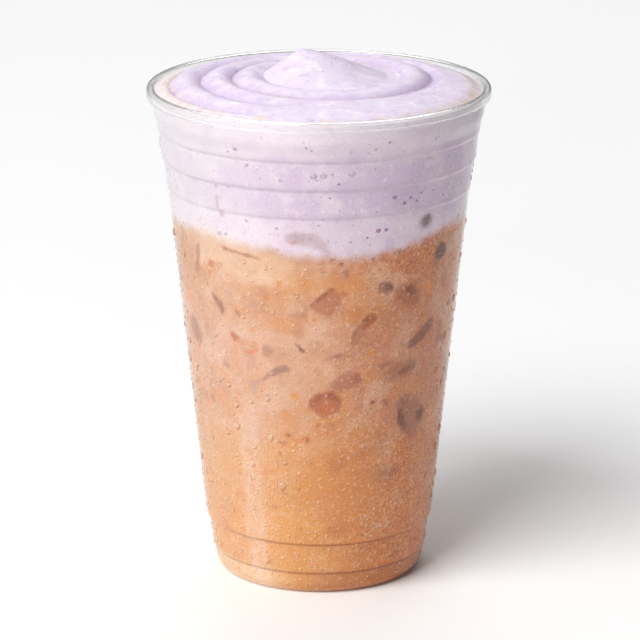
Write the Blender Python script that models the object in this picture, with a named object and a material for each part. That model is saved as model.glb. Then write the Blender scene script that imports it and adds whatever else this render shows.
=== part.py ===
"""Iced chai latte under thick cold foam, in a clear thin-walled plastic cup.

Three solids, in metres, +Z up, standing on the plane Z = 0 with the cup's axis on Z:
  cup        one turned plastic sheet: recessed base, stepped foot and collar, rolled rim
  latte      the drink, from the base of the cup up to the foam
  cold_foam  the foam layer, from the drink up to its spooned swirl and leaning peak
"""
import math

import bpy
import bmesh
from mathutils import Vector

# Cup: main sizes
CUP_HEIGHT = 0.1432
RIM_RADIUS = 0.0490
FOOT_RADIUS = 0.02995
WALL_SLOPE = 0.1045
SHEET = 0.0005

# Cup: base
BASE_RECESS = 0.0018
RECESS_RADIUS = 0.0215
RING_INNER_RADIUS = 0.0238
RING_OUTER_RADIUS = 0.0266
HEEL_HEIGHT = 0.0045

# Cup: moulded steps of the wall, each a height and the width that the wall gains there
STEPS = (
    (0.0068, 0.00045),
    (0.0160, 0.00075),
    (0.1146, 0.00030),
    (0.1228, 0.00050),
    (0.1311, 0.00035),
)
STEP_HEIGHT = 0.0008

# Cup: neck and rolled rim
NECK_START = 0.1330
NECK_END = 0.1372
NECK_RADIUS = 0.04710
CURL_WIDTH = 0.0024
CURL_DROP = 0.0032
CURL_TUCK = 0.0005

# Contents
GAP = 0.0003
FOAM_LEVEL = 0.1041
FOAM_EDGE = 0.1416

# Wavy line where the foam meets the drink: waves round the cup, height and direction
BOUNDARY_WAVES = (
    (1, 0.00102, 166.0),
    (2, 0.00057, 52.0),
    (3, 0.00066, 295.0),
)

# Swirl of the foam: a spiral valley round a cone whose peak leans off the axis
SWIRL_CENTRE = (0.0015, 0.0028)
SWIRL_START = 0.0150
SWIRL_PITCH = 0.0089
SWIRL_FADE = 0.15
RIDGE_HEIGHT = 0.0018
RIDGE_ROUNDNESS = 0.8
RIDGE_FRONT_SHARE = 0.65
DOME_HEIGHT = 0.0034
DOME_FULLNESS = 2.5
PEAK = (-0.0054, 0.0041)
PEAK_HEIGHT = 0.1526
CONE_RADIUS = 0.0185
CONE_SHARPNESS = 1.12
CONE_BULGE = 0.8
CONE_BULGE_TURN = 25.0

# Beyond the first ridge the foam lies smooth from the front round to the right
SMOOTH_HEIGHT = 0.0010
SMOOTH_RISE = 0.45
SMOOTH_START = (0.36, 0.48)
SMOOTH_END = (0.80, 0.96)

# Mesh density
TURNS = 64
FOAM_RINGS = 24
FLOOR_RINGS = 5
ARC_POINTS = 4


def clear_scene():
    for item in list(bpy.data.objects):
        bpy.data.objects.remove(item)


def material(name, colour, roughness, transmission=0.0):
    finish = bpy.data.materials.new(name)
    finish.use_nodes = True
    shader = finish.node_tree.nodes["Principled BSDF"]
    shader.inputs["Base Color"].default_value = (*colour, 1.0)
    shader.inputs["Roughness"].default_value = roughness
    shader.inputs["Metallic"].default_value = 0.0
    shader.inputs["Transmission Weight"].default_value = transmission
    return finish


def smoothstep(value):
    value = min(max(value, 0.0), 1.0)
    return value * value * (3.0 - 2.0 * value)


def wave_sum(waves, angle):
    return sum(height * math.cos(count * angle - math.radians(turn))
               for count, height, turn in waves)


def wall_radius(height):
    """Radius of the cup's outer face: a straight taper, wider above each step."""
    radius = FOOT_RADIUS + WALL_SLOPE * height
    for level, width in STEPS:
        radius += width * min(max((height - level) / STEP_HEIGHT + 0.5, 0.0), 1.0)
    return radius


def arc(centre, radius_x, radius_z, start, end, count):
    points = []
    for index in range(count):
        angle = math.radians(start + (end - start) * index / (count - 1))
        points.append(Vector((centre[0] + radius_x * math.cos(angle),
                              centre[1] + radius_z * math.sin(angle))))
    return points


def body_centreline():
    """Middle of the cup's sheet, as (radius, height), from the base's centre to the neck."""
    half = SHEET / 2.0
    heel_width = wall_radius(HEEL_HEIGHT) - half - RING_OUTER_RADIUS
    points = [
        Vector((0.0, BASE_RECESS + half)),
        Vector((RECESS_RADIUS, BASE_RECESS + half)),
        Vector((RING_INNER_RADIUS, half)),
    ]
    heel_centre = (RING_OUTER_RADIUS, HEEL_HEIGHT)
    points += arc(heel_centre, heel_width, HEEL_HEIGHT - half, -90.0, 0.0, ARC_POINTS)
    for level, _ in STEPS:
        for height in (level - STEP_HEIGHT / 2.0, level + STEP_HEIGHT / 2.0):
            points.append(Vector((wall_radius(height) - half, height)))
    points.append(Vector((wall_radius(NECK_START) - half, NECK_START)))
    points.append(Vector((NECK_RADIUS - half, NECK_END)))
    return points


def curl_centreline():
    """Rolled rim: the sheet turns outwards over the top and tucks back in below."""
    half = SHEET / 2.0
    outer = RIM_RADIUS - half
    inner = RIM_RADIUS - CURL_WIDTH + half
    bend = (outer - inner) / 2.0
    centre = (inner + bend, CUP_HEIGHT - half - bend)
    points = arc(centre, bend, bend, 180.0, 0.0, 2 * ARC_POINTS - 1)
    tip = CUP_HEIGHT - CURL_DROP + half
    points.append(Vector((outer, tip + CURL_TUCK)))
    points.append(Vector((outer - CURL_TUCK, tip)))
    return points


def offset(points, distance):
    """The line moved sideways by a distance, to its left as seen along it."""
    moved = []
    for index, point in enumerate(points):
        before = points[max(index - 1, 0)]
        after = points[min(index + 1, len(points) - 1)]
        first = (point - before) if index > 0 else (after - point)
        second = (after - point) if index < len(points) - 1 else first
        normals = [Vector((-run.y, run.x)).normalized() for run in (first, second)]
        mitre = (normals[0] + normals[1]).normalized()
        moved.append(point + mitre * (distance / max(mitre.dot(normals[0]), 0.5)))
    return moved


def radius_at(outline, height):
    """Radius of a rising outline at a height."""
    for lower, upper in zip(outline, outline[1:]):
        if lower.y <= height <= upper.y and upper.y > lower.y:
            share = (height - lower.y) / (upper.y - lower.y)
            return lower.x + share * (upper.x - lower.x)
    return outline[-1].x


def step_between(value, limits):
    return smoothstep((value - limits[0]) / (limits[1] - limits[0]))


def ridge_height(x, y, wall_distance):
    """Rounded ridges between the turns of a spiral valley that starts behind the peak."""
    across = x - SWIRL_CENTRE[0]
    along = y - SWIRL_CENTRE[1]
    angle = math.atan2(along, across)
    turn = ((angle - math.pi / 2.0) % math.tau) / math.tau
    phase = (math.hypot(across, along) - SWIRL_START) / SWIRL_PITCH - turn
    if phase <= 0.0:
        return 0.0
    crest = math.sin(math.pi * (phase % 1.0)) ** RIDGE_ROUNDNESS
    strength = RIDGE_FRONT_SHARE + (1.0 - RIDGE_FRONT_SHARE) * math.cos(angle) ** 2
    height = RIDGE_HEIGHT * strength * crest
    if phase < 1.0:
        height *= smoothstep(turn / SWIRL_FADE)
    else:
        smooth = step_between(turn, SMOOTH_START) * (1.0 - step_between(turn, SMOOTH_END))
        plain = SMOOTH_HEIGHT * smoothstep((phase - 1.0) / SMOOTH_RISE)
        height += smooth * (plain - height)
    return height * smoothstep(2.0 * wall_distance / SWIRL_PITCH)


def cone_foot(across, along):
    """Distance from the peak to the edge of the cone's round foot, in a direction."""
    offset_x = PEAK[0] - SWIRL_CENTRE[0]
    offset_y = PEAK[1] - SWIRL_CENTRE[1]
    inward = -(offset_x * across + offset_y * along)
    spare = CONE_RADIUS ** 2 - offset_x ** 2 - offset_y ** 2
    return inward + math.sqrt(inward ** 2 + spare)


def cone_height(x, y, dome):
    """Central cone that rises to the leaning peak, fuller on one flank."""
    across = x - PEAK[0]
    along = y - PEAK[1]
    reach = math.hypot(across, along)
    share = max(1.0 - reach / cone_foot(across / reach, along / reach), 0.0)
    facing = math.cos(math.atan2(along, across) - math.radians(CONE_BULGE_TURN))
    bulge = 1.0 + CONE_BULGE * max(facing, 0.0) * share * (1.0 - share)
    return (PEAK_HEIGHT - dome) * bulge * share ** CONE_SHARPNESS


def foam_height(x, y, wall):
    """Height of the foam's top face."""
    radius = math.hypot(x, y)
    dome = FOAM_EDGE + DOME_HEIGHT * (1.0 - min(radius / wall, 1.0) ** DOME_FULLNESS)
    return dome + ridge_height(x, y, wall - radius) + cone_height(x, y, dome)


def add_ring(mesh, place):
    """Ring of points round the axis; place gives each one's position from its angle."""
    return [mesh.verts.new(place(math.tau * index / TURNS)) for index in range(TURNS)]


def turned(radius, height, angle):
    return (radius * math.cos(angle), radius * math.sin(angle), height)


def level_rings(mesh, outline):
    return [add_ring(mesh, lambda angle, p=point: turned(p.x, p.y, angle)) for point in outline]


def join_rings(mesh, rings):
    for first, second in zip(rings, rings[1:]):
        for index in range(TURNS):
            following = (index + 1) % TURNS
            mesh.faces.new((first[index], first[following], second[following], second[index]))


def close_ring(mesh, ring, centre, height):
    tip = mesh.verts.new((centre[0], centre[1], height))
    for index in range(TURNS):
        mesh.faces.new((ring[index], ring[(index + 1) % TURNS], tip))


def finish_object(mesh, name, finish, flat_angle):
    """Turn a bmesh into an object with its faces pointing out, shaded smooth."""
    bmesh.ops.triangulate(mesh, faces=mesh.faces[:])
    bmesh.ops.recalc_face_normals(mesh, faces=mesh.faces[:])
    data = bpy.data.meshes.new(name)
    mesh.to_mesh(data)
    mesh.free()
    data.materials.append(finish)
    data.shade_smooth()
    data.set_sharp_from_angle(angle=math.radians(flat_angle))
    item = bpy.data.objects.new(name, data)
    bpy.context.scene.collection.objects.link(item)
    return item


def make_cup(centreline):
    """Turn the sheet's outline, along its outer face and back along the inner, round the axis."""
    outer = offset(centreline, -SHEET / 2.0)
    inner = offset(centreline, SHEET / 2.0)
    mesh = bmesh.new()
    rings = level_rings(mesh, outer[1:] + inner[:0:-1])
    join_rings(mesh, rings)
    close_ring(mesh, rings[0], (0.0, 0.0), outer[0].y)
    close_ring(mesh, rings[-1], (0.0, 0.0), inner[0].y)
    plastic = material("clear_plastic", (0.93, 0.94, 0.95), 0.05, transmission=0.9)
    return finish_object(mesh, "cup", plastic, 40.0)


def boundary_ring(mesh, contents, share, lift):
    """Ring on the wavy face between drink and foam, at a share of the way to the wall."""
    wall = radius_at(contents, FOAM_LEVEL)

    def place(angle):
        height = FOAM_LEVEL + wave_sum(BOUNDARY_WAVES, angle) * share ** 2 + lift
        reach = radius_at(contents, height) if share == 1.0 else wall * share
        return turned(reach, height, angle)

    return add_ring(mesh, place)


def boundary_face(mesh, contents, lift):
    """The wavy face between drink and foam; returns its rim."""
    rings = [boundary_ring(mesh, contents, 1.0 - index / FLOOR_RINGS, lift)
             for index in range(FLOOR_RINGS)]
    join_rings(mesh, rings)
    close_ring(mesh, rings[-1], (0.0, 0.0), FOAM_LEVEL + lift)
    return rings[0]


def swirl_face(mesh, wall, edge):
    """The foam's top, from its edge at the wall in to the peak."""
    rings = [edge]
    for index in range(1, FOAM_RINGS):
        share = 1.0 - index / FOAM_RINGS

        def place(angle, share=share):
            x = PEAK[0] * (1.0 - share) + wall * share * math.cos(angle)
            y = PEAK[1] * (1.0 - share) + wall * share * math.sin(angle)
            return (x, y, foam_height(x, y, wall))

        rings.append(add_ring(mesh, place))
    join_rings(mesh, rings)
    close_ring(mesh, rings[-1], PEAK, PEAK_HEIGHT)


def make_latte(contents):
    """The drink: the inside of the cup, filled from its base to the foam."""
    mesh = bmesh.new()
    top = boundary_face(mesh, contents, -GAP / 2.0)
    lowest = min(vertex.co.z for vertex in top)
    rings = level_rings(mesh, [p for p in contents[1:] if p.y < lowest - STEP_HEIGHT])
    join_rings(mesh, rings + [top])
    close_ring(mesh, rings[0], (0.0, 0.0), contents[0].y)
    milky_tea = material("milky_tea", (0.66, 0.37, 0.20), 0.30)
    return finish_object(mesh, "latte", milky_tea, 50.0)


def make_cold_foam(contents):
    """The foam: straight up the wall, wavy below, and a spooned swirl above."""
    mesh = bmesh.new()
    bottom = boundary_face(mesh, contents, GAP / 2.0)
    highest = max(vertex.co.z for vertex in bottom)
    outline = [p for p in contents if highest + STEP_HEIGHT < p.y < FOAM_EDGE]
    wall = radius_at(contents, FOAM_EDGE)
    rings = level_rings(mesh, outline + [Vector((wall, FOAM_EDGE))])
    join_rings(mesh, [bottom] + rings)
    swirl_face(mesh, wall, rings[-1])
    lilac_foam = material("lilac_foam", (0.80, 0.70, 0.86), 0.55)
    return finish_object(mesh, "cold_foam", lilac_foam, 60.0)


def build():
    clear_scene()
    body = body_centreline()
    curl = curl_centreline()
    contents = offset(body + curl[:1], SHEET / 2.0 + GAP)
    make_cup(body + curl)
    make_latte(contents)
    make_cold_foam(contents)


build()
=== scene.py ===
"""Iced chai latte under lilac cold foam in a clear cup: finish, small detail, light and camera."""
import math
import random

import bpy
import numpy as np
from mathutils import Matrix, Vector, noise


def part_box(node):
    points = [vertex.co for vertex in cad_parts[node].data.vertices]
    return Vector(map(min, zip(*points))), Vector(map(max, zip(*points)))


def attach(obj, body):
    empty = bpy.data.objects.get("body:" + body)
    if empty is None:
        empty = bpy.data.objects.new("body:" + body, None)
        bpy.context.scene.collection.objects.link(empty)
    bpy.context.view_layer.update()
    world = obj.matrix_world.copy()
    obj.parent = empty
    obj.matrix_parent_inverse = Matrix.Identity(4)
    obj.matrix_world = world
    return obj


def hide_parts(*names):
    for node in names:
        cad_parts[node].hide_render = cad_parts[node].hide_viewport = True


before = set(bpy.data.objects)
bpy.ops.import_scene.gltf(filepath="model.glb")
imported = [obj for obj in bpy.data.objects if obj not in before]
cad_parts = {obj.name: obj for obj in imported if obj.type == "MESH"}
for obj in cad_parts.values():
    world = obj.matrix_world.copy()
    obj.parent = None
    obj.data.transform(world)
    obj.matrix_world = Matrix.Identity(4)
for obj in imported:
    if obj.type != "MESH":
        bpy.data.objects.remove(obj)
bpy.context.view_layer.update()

MM = 0.001

# --- Sizes -------------------------------------------------------------------------------

# Cup: the sheet's outline, as in the solid
CUP_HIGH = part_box("cup")[1]
CUP_HEIGHT = CUP_HIGH.z
RIM_RADIUS = CUP_HIGH.x
FOOT_RADIUS = 29.95 * MM
WALL_SLOPE = 0.1045
SHEET = 0.5 * MM
BASE_RECESS = 1.8 * MM
RECESS_RADIUS = 21.5 * MM
RING_INNER_RADIUS = 23.8 * MM
RING_OUTER_RADIUS = 26.6 * MM
HEEL_HEIGHT = 4.5 * MM
# Moulded steps: height, and the width that the wall gains there; two at the foot come first
STEPS = (
    (6.8 * MM, 0.45 * MM),
    (16 * MM, 0.75 * MM),
    (114.6 * MM, 0.3 * MM),
    (122.8 * MM, 0.5 * MM),
    (131.1 * MM, 0.35 * MM),
)
FOOT_STEPS = 2
STEP_HEIGHT = 0.8 * MM
PLAIN_WALL = (17.5 * MM, 113.5 * MM)
BETWEEN_STEPS = (9.5 * MM, 12.5 * MM, 118.5 * MM, 126.5 * MM)
NECK_START = 133 * MM
NECK_END = 137.2 * MM
NECK_RADIUS = 47.1 * MM
CURL_WIDTH = 2.4 * MM
CURL_DROP = 3.2 * MM
CURL_TUCK = 0.5 * MM

# Contents: they reach into the sheet by the overlap
OVERLAP = 0.08 * MM
LATTE_FLOOR_END = 17 * MM
FOAM_LEVEL = 104.1 * MM
FOAM_EDGE = 141.6 * MM
# Waves of the line between foam and drink: number round the cup, height and direction
BOUNDARY_WAVES = (
    (1, 1.02 * MM, 166),
    (2, 0.57 * MM, 52),
    (3, 0.66 * MM, 295),
)
SWIRL_CENTRE = (1.5 * MM, 2.8 * MM)
SWIRL_START = 15 * MM
SWIRL_PITCH = 8.9 * MM
SWIRL_FADE = 0.15
RIDGE_HEIGHT = 1.8 * MM
RIDGE_ROUNDNESS = 0.8
RIDGE_FRONT_SHARE = 0.65
DOME_HEIGHT = 3.4 * MM
DOME_FULLNESS = 2.5
PEAK = (-5.4 * MM, 4.1 * MM)
PEAK_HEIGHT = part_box("cold_foam")[1].z
CONE_RADIUS = 18.5 * MM
CONE_SHARPNESS = 1.12
CONE_BULGE = 0.8
CONE_BULGE_TURN = 25
SMOOTH_HEIGHT = 1 * MM
SMOOTH_RISE = 0.45
SMOOTH_START = (0.36, 0.48)
SMOOTH_END = (0.8, 0.96)

# Degrees to each side of the front that the catalogues below cover, and those they leave out
FRONT_SIDE = 62
HIDDEN_TURN = 360 - 2 * FRONT_SIDE

# Broad tones of the drink and the foam at the wall: colour, strength, softness of the edge
# in mm, and corners as degrees round from the front and height in mm
TONES = (
    ((212, 164, 138), 0.32, 9, ((-46, 84), (-30, 86), (-6, 80), (0, 66), (-8, 52), (-30, 46), (-44, 54))),
    ((238, 204, 172), 0.46, 4, ((-56, 109), (-30, 106), (-10, 103), (-8, 94), (-30, 95), (-56, 98))),
    ((224, 148, 80), 0.45, 5, ((-12, 98), (16, 98), (22, 92), (4, 92), (-14, 92))),
    ((196, 134, 104), 0.32, 8, ((22, 92), (56, 96), (64, 70), (56, 46), (30, 46), (26, 66))),
    ((216, 130, 58), 0.4, 8, ((-6, 44), (26, 46), (30, 30), (10, 22), (-8, 30))),
)

# Ice and chai seen through the drink at the wall, and a fold in the foam: colour, whether the
# gain below applies to it, strength, softness of the edge in mm, and corners, which are read
# off the photograph's frame, in pixels from its upper left
PATCHES = (
    ((170, 106, 76), False, 0.8, 0.9, ((196, 244), (199, 242), (199, 258), (199, 270), (197, 277),
        (195, 268), (195, 255))),
    ((162, 96, 66), False, 0.85, 0.7, ((219, 245), (226, 248), (240, 252), (252, 255), (259, 260),
        (250, 258), (236, 254), (224, 250))),
    ((214, 142, 100), True, 0.6, 0.9, ((208, 260), (214, 261), (221, 263), (222, 268), (215, 271),
        (208, 266))),
    ((196, 98, 56), True, 0.7, 0.6, ((208, 260), (213, 262), (212, 267), (207, 265))),
    ((142, 82, 60), False, 0.92, 0.9, ((211, 292), (216, 296), (221, 302), (224, 309), (222, 314),
        (217, 306), (213, 299))),
    ((150, 106, 96), True, 0.7, 0.5, ((235, 309), (239, 312), (239, 317), (235, 314))),
    ((220, 140, 88), True, 0.7, 0.9, ((229, 332), (235, 333), (240, 338), (250, 342), (258, 345),
        (255, 349), (244, 346), (235, 342), (230, 337))),
    ((190, 96, 72), True, 0.8, 0.6, ((229, 332), (235, 333), (239, 338), (233, 341))),
    ((226, 128, 60), True, 0.7, 0.6, ((244, 350), (250, 349), (258, 348), (258, 353), (250, 355),
        (245, 354))),
    ((206, 150, 118), True, 0.55, 1.4, ((270, 348), (282, 348), (286, 356), (280, 362), (270, 362),
        (266, 356))),
    ((184, 122, 96), True, 0.65, 0.9, ((262, 345), (268, 346), (272, 352), (268, 358), (262, 355))),
    ((190, 150, 138), True, 0.6, 0.9, ((248, 382), (258, 378), (264, 381), (258, 386), (256, 392),
        (250, 388))),
    ((156, 110, 100), True, 0.72, 0.8, ((262, 378), (270, 371), (279, 366), (286, 365), (290, 369),
        (288, 374), (280, 373), (270, 378), (262, 382))),
    ((178, 118, 100), True, 0.65, 0.6, ((222, 358), (227, 362), (230, 368), (228, 370), (223, 364))),
    ((184, 124, 96), True, 0.55, 0.5, ((212, 394), (216, 401), (214, 403), (211, 398))),
    ((214, 156, 130), True, 0.5, 0.9, ((247, 270), (258, 270), (257, 276), (248, 275))),
    ((228, 148, 76), True, 0.65, 0.6, ((277, 281), (281, 281), (280, 288), (276, 288))),
    ((232, 146, 58), True, 0.75, 0.6, ((292, 394), (297, 394), (298, 400), (291, 400))),
    ((228, 150, 80), True, 0.65, 0.7, ((280, 411), (288, 411), (291, 417), (285, 418))),
    ((186, 88, 48), True, 0.8, 0.4, ((296, 293), (298, 296), (299, 300), (296, 298))),
    ((184, 92, 50), True, 0.8, 0.4, ((297, 378), (302, 379), (302, 382), (298, 382))),
    ((128, 62, 50), True, 0.9, 0.4, ((295, 344), (299, 346), (304, 350), (304, 353), (299, 352))),
    ((198, 142, 114), True, 0.55, 1.2, ((327, 297), (342, 298), (344, 308), (335, 316), (322, 321),
        (317, 312))),
    ((190, 120, 88), False, 0.95, 0.9, ((310.3, 305.8), (316, 300.5), (323, 294.5), (331, 288.6),
        (335, 289.5), (341, 295), (341.5, 303), (337, 311), (329, 316.8), (322, 315), (315, 310.5))),
    ((146, 76, 50), False, 0.85, 0.8, ((310.3, 305.8), (316, 300), (323, 294), (331, 288.4), (335, 289.5),
        (330, 293.5), (322, 299.5), (315, 304.5))),
    ((208, 134, 74), False, 0.85, 1, ((345, 320), (348, 311), (356, 305), (364, 307), (365, 314),
        (360, 321), (352, 325))),
    ((166, 88, 60), True, 0.6, 0.5, ((341, 291), (346, 292), (349, 296), (345, 297), (342, 295))),
    ((182, 118, 88), False, 0.8, 1, ((351, 344), (352, 336), (357, 329), (363, 325), (368, 329), (365, 336),
        (359, 342), (355, 348))),
    ((142, 84, 62), False, 0.5, 1, ((351, 344), (352, 336), (357, 328), (363, 322), (361, 328), (357, 334),
        (354, 340))),
    ((172, 88, 46), False, 0.88, 0.8, ((363, 322), (367, 316), (374, 315), (378.5, 318), (376, 323),
        (369, 328), (363, 330))),
    ((124, 64, 42), False, 0.65, 0.5, ((363, 320), (368, 317), (375, 315), (370, 319), (365, 324))),
    ((152, 98, 84), False, 0.75, 1, ((379, 285), (384, 281), (391, 281), (396, 286), (394, 291), (388, 294),
        (381, 291))),
    ((104, 56, 54), False, 0.8, 0.7, ((386, 284), (391, 283), (394, 287), (391, 290), (386, 289))),
    ((120, 72, 62), True, 0.6, 0.5, ((380, 284), (383, 284), (383, 289), (380, 289))),
    ((170, 100, 68), False, 0.8, 2.2, ((397, 292), (400, 285), (407, 282), (415, 283), (420, 290),
        (420, 300), (414, 307), (404, 305), (398, 300))),
    ((128, 66, 40), False, 0.8, 1.1, ((407, 287), (411, 284), (416, 288), (416, 294), (411, 296),
        (407, 292))),
    ((190, 110, 50), True, 0.55, 1.2, ((425, 283), (431, 282), (433, 289), (430, 295), (426, 293))),
    ((112, 80, 74), True, 0.55, 1, ((434, 256), (440, 254), (439, 264), (434, 268))),
    ((92, 56, 54), False, 0.92, 0.9, ((438, 246), (442, 241), (446, 242), (447, 250), (442, 258),
        (437, 260), (435, 254))),
    ((130, 74, 62), False, 0.8, 1.3, ((408, 349), (410, 341), (417, 334), (423, 327), (429, 319),
        (433.5, 316), (434, 322), (429, 331), (422, 340), (414, 347))),
    ((158, 94, 68), False, 0.62, 2.4, ((383, 377), (387, 369), (396, 363), (407, 359), (416, 360),
        (417, 366), (411, 373), (400, 379), (389, 382))),
    ((126, 64, 46), False, 0.6, 1.2, ((397, 374), (403, 368), (412, 364), (414, 366), (408, 372),
        (400, 377))),
    ((134, 90, 72), True, 0.6, 0.5, ((378, 366), (388, 361), (394, 360), (394, 363), (386, 366),
        (379, 369))),
    ((186, 118, 92), False, 0.92, 1.6, ((329, 388), (332, 381), (340, 376), (350, 373), (360, 374),
        (363, 379), (358, 386), (347, 391), (336, 392))),
    ((170, 98, 72), False, 0.7, 1, ((352, 377), (358, 374), (363, 377), (361, 384), (355, 384))),
    ((184, 104, 70), False, 0.9, 1.8, ((308, 404), (312, 397), (320, 393), (330, 391.5), (338, 395),
        (342, 401), (341, 409), (334, 415), (324, 417), (315, 414), (309, 409))),
    ((158, 76, 48), False, 0.7, 1.3, ((311, 402), (318, 395), (330, 392), (338, 397), (340, 404),
        (334, 400), (324, 398), (316, 402), (312, 407))),
    ((204, 112, 66), False, 0.6, 1.2, ((322, 408), (328, 404), (337, 405), (338, 410), (330, 414),
        (323, 413))),
    ((184, 128, 104), True, 0.6, 0.8, ((322, 362), (332, 356), (341, 353), (345, 354), (340, 358),
        (330, 361))),
    ((160, 98, 74), True, 0.65, 0.5, ((332, 358), (341, 353), (345, 355), (337, 359))),
    ((196, 138, 112), True, 0.6, 0.9, ((339, 270), (346, 268), (349, 274), (347, 282), (341, 281),
        (338, 275))),
    ((156, 100, 72), True, 0.65, 0.6, ((344, 272), (348, 269), (350, 276), (346, 280))),
    ((96, 58, 46), True, 0.8, 0.4, ((340, 264), (343, 263), (344, 267), (341, 267))),
    ((168, 96, 80), True, 0.8, 0.5, ((326, 254), (330, 257), (335, 261), (330, 262))),
    ((218, 134, 58), False, 0.75, 1.1, ((366, 349), (374, 350), (375, 356), (368, 357))),
    ((168, 88, 44), True, 0.65, 0.6, ((422, 361), (427, 359), (426, 365), (422, 364))),
    ((160, 102, 84), False, 0.7, 2.2, ((398, 402), (401, 396), (410, 394), (420, 399), (425, 407),
        (423, 418), (417, 430), (411, 440), (403, 434), (398, 420))),
    ((114, 58, 48), False, 0.8, 1.2, ((398, 408), (402, 408), (404, 420), (402, 428), (398, 424))),
    ((100, 62, 52), True, 0.7, 0.6, ((402, 424), (407, 422), (408, 428), (403, 430))),
    ((116, 60, 48), False, 0.85, 1.2, ((417, 412), (422, 405), (424, 412), (421, 420), (417, 420))),
    ((118, 78, 74), True, 0.6, 0.9, ((402, 400), (408, 399), (409, 404), (403, 405))),
    ((112, 56, 42), True, 0.9, 0.5, ((371, 400), (375, 399), (376, 404), (372, 405))),
    ((136, 80, 58), True, 0.7, 0.9, ((383, 398), (388, 400), (389, 407), (384, 405))),
    ((200, 172, 178), False, 0.82, 1.3, ((285, 235), (295, 231.7), (313.3, 233.3), (326.7, 243.3),
        (333.3, 256.7), (326.7, 258.3), (320, 250), (308.3, 246.7), (293.3, 245), (285, 241.7))),
    ((182, 154, 162), False, 0.6, 1.2, ((290, 236), (304, 235), (308, 241), (296, 243))),
    ((150, 84, 86), True, 0.8, 0.4, ((306, 238), (310, 238), (310, 240), (306, 240))),
    ((206, 140, 112), True, 0.6, 0.5, ((290, 242), (294, 241), (294, 245), (291, 245))),
)
PATCH_RAGGED = 0.4
PATCH_BLUR = 1.15
PATCH_MARGIN = 1
# Gain that makes up for the light there: degrees round from the front, and factor
PATCH_GAIN = ((-60, 0.9), (-20, 0.95), (0, 1), (25, 1.12), (40, 1.2), (55, 1.27))
# The photograph's frame is square, in pixels; rounds that find where a line of sight ends
FRAME_SIZE = 640
SIGHT_ROUNDS = 20

# Smaller spots: degrees round from the front, height, length and width in mm, slope in
# degrees, strength, colour name and edge softness
STAINS = (
    (-55, 56.4, 3, 1.6, -35, 0.55, "brown", 0.6), (-15.8, 56.5, 3.8, 1.9, -30, 0.5, "amber", 0.6),
    (-10.6, 62.2, 3, 1.7, 20, 0.5, "amber", 0.6),
    (-8, 81, 4.2, 3, -30, 0.3, "brown", 0.9), (-8.6, 86.4, 4, 2.2, 10, 0.3, "brown", 0.9),
    (-8.6, 92.3, 1.8, 1.3, -20, 0.6, "brown", 0.6), (-16.4, 96, 2.7, 1.4, 60, 0.45, "amber", 0.6),
    (21, 102.3, 1.1, 1, 0, 0.85, "plum", 0.5), (32.6, 103.6, 1.8, 1.2, 0, 0.5, "plum", 0.7),
    (59, 91, 3.4, 2.2, -30, 0.5, "rust", 0.7), (61, 75, 9, 2, 80, 0.45, "plum", 0.9),
    (53.5, 62.4, 3, 1.6, 60, 0.5, "rust", 0.6), (8, 41, 7, 5, 40, 0.36, "red", 0.9),
    (9, 20.5, 7, 4.4, -10, 0.42, "rust", 0.9), (34, 36.5, 12, 4.4, 8, 0.3, "plum", 0.9),
    (22, 44, 8, 3.4, 20, 0.3, "brown", 0.9), (17.8, 90, 1.7, 1.3, 60, 0.5, "amber", 0.6),
    (-40.4, 117.2, 4.4, 1.5, 84, 0.85, "mauve", 0.7),
    (-39.2, 114.2, 2.8, 1.6, 70, 0.75, "mauve", 0.7), (44.4, 110.8, 5.8, 5.2, 50, 0.45, "mauve", 0.9),
    (44.6, 111, 4, 3.6, 50, 0.8, "dark", 0.8),
)
# Spots of the same kind that start with a pixel of the frame
SEEN_STAINS = (
    (288.3, 435.6, 1.5, 1.2, 0, 0.9, "red", 0.7), (306.2, 440, 2.3, 1.9, 10, 0.8, "rust", 0.8),
    (317.7, 425.4, 1.7, 1.5, 0, 0.85, "rust", 0.7), (280, 454, 1.3, 1.1, 0, 0.7, "rust", 0.7),
    (281.9, 442.5, 2.8, 1.7, 0, 0.45, "red", 0.8),
)
STAIN_COLOURS = {
    "brown": (158, 98, 70),
    "red": (164, 86, 58),
    "rust": (190, 94, 46),
    "amber": (220, 136, 58),
    "grey": (140, 98, 84),
    "dark": (100, 62, 52),
    "plum": (130, 78, 76),
    "mauve": (178, 150, 158),
}
SPOT_CORNERS = 10
SPOT_SOFTNESS = 0.6
SPOT_LEAST_SOFTNESS = 0.4

# Spots on the side that the catalogue leaves out
STAIN_KINDS = ("brown", "brown", "red", "rust", "amber", "grey", "dark", "plum")
STAIN_SEED = 11
STAIN_COUNT = 85
STAIN_HEIGHTS = (48, 102)
STAIN_LEAST_LENGTH = 1.6
STAIN_EXTRA_LENGTH = 8.5
STAIN_WIDTHS = (0.3, 0.7)
STAIN_SLOPES = (-60, 60)
STAIN_STRENGTHS = (0.35, 0.85)
STAIN_SOFTNESS = (0.35, 0.85)
# Power that makes small sizes of spots and beads the most common
SMALL_BIAS = 2.2
# Noise that wears the marks' outlines and the drink's edge: size, seed and share
OUTLINE_NOISE = ((1.3 * MM, 3, 1), (4 * MM, 5, 0.8))
EDGE_NOISE = (5 * MM, 11)

# Edge of the drink: it creeps up on one side, in degrees from the front, and runs ragged
CREEP_HEIGHT = 3 * MM
CREEP_TURN = 62
CREEP_SPREAD = 24
DRINK_RISE = 1.1 * MM
DRINK_RAGGED = 1.1 * MM

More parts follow.
